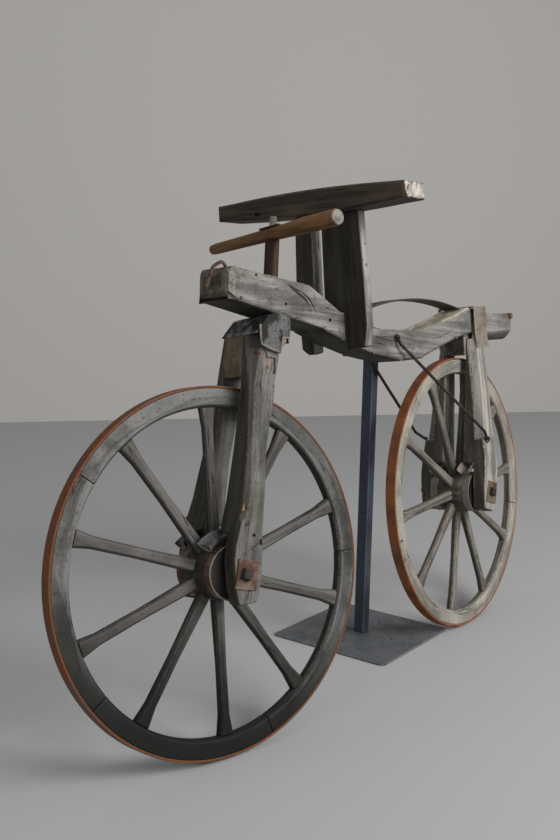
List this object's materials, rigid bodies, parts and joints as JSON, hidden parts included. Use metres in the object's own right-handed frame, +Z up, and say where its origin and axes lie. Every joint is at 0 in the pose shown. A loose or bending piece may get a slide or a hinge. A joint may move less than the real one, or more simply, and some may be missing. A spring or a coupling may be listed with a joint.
{
  "type": "wooden running machine",
  "caption": "Wooden two-wheeled running machine: spoked wheels in line under a carved beam, steered front fork with bar, arm rest on uprights, on a display post with a base plate.",
  "frame": {"origin": "middle of the stand plate's underside, on the floor", "axes": "+X forward to the front wheel, +Y to the rider's left, +Z up"},
  "size_m": [1.7745, 0.525, 1.1735],
  "materials": {
    "grey_timber": "weathered",
    "dark_timber": "weathered",
    "olive_timber": "worn paint",
    "brown_timber": "hand-worn",
    "pale_timber": "weathered",
    "dark_iron": "dull",
    "rusty_iron": "rusty",
    "sheet_iron": "worn",
    "tyre_iron": "rusty",
    "stand_paint": "satin"
  },
  "bodies": {
    "frame": {"beam": "grey_timber", "upright_left": "dark_timber", "upright_right": "dark_timber", "arm_rest": "dark_timber", "saddle_strap": "dark_timber", "rear_leg_left": "grey_timber", "rear_leg_right": "grey_timber", "rear_crown": "grey_timber", "rear_strap": "dark_iron", "rear_stays": "dark_iron", "rear_axle": "rusty_iron", "rear_axle_plates": "rusty_iron", "rear_guards": "sheet_iron", "front_hook": "dark_iron", "rear_peg": "dark_timber", "stand_post": "stand_paint", "stand_plate": "stand_paint", "stand_bracket": "stand_paint"},
    "fork": {"fork_leg_left": "olive_timber", "fork_leg_right": "olive_timber", "fork_crown": "olive_timber", "fork_cap": "sheet_iron", "front_axle": "rusty_iron", "front_axle_plates": "rusty_iron", "front_guards": "sheet_iron", "steering_stem": "brown_timber", "handlebar": "brown_timber", "stem_plate": "dark_iron"},
    "front_wheel": {"front_tyre": "tyre_iron", "front_felloes": "dark_timber", "front_spokes": "grey_timber", "front_nave": "grey_timber", "front_nave_bands": "dark_iron"},
    "rear_wheel": {"rear_tyre": "tyre_iron", "rear_felloes": "pale_timber", "rear_spokes": "pale_timber", "rear_nave": "pale_timber", "rear_nave_bands": "dark_iron"}
  },
  "joints": [
    {"name": "steering", "type": "hinge", "parent": "frame", "child": "fork", "pos_m": [0.654, 0.13784, 0.37395], "axis": [-0.1994, -0.1206, 0.9725], "range_deg": [-21, 49]},
    {"name": "front_wheel_spin", "type": "hinge", "parent": "fork", "child": "front_wheel", "pos_m": [0.76085, 0.1117, 0.37208], "axis": [0.2371, 0.957, 0.1673], "continuous": true},
    {"name": "rear_wheel_spin", "type": "hinge", "parent": "frame", "child": "rear_wheel", "pos_m": [-0.271, 0.13784, 0.37395], "axis": [0, 0.9924, 0.1231], "continuous": true}
  ]
}
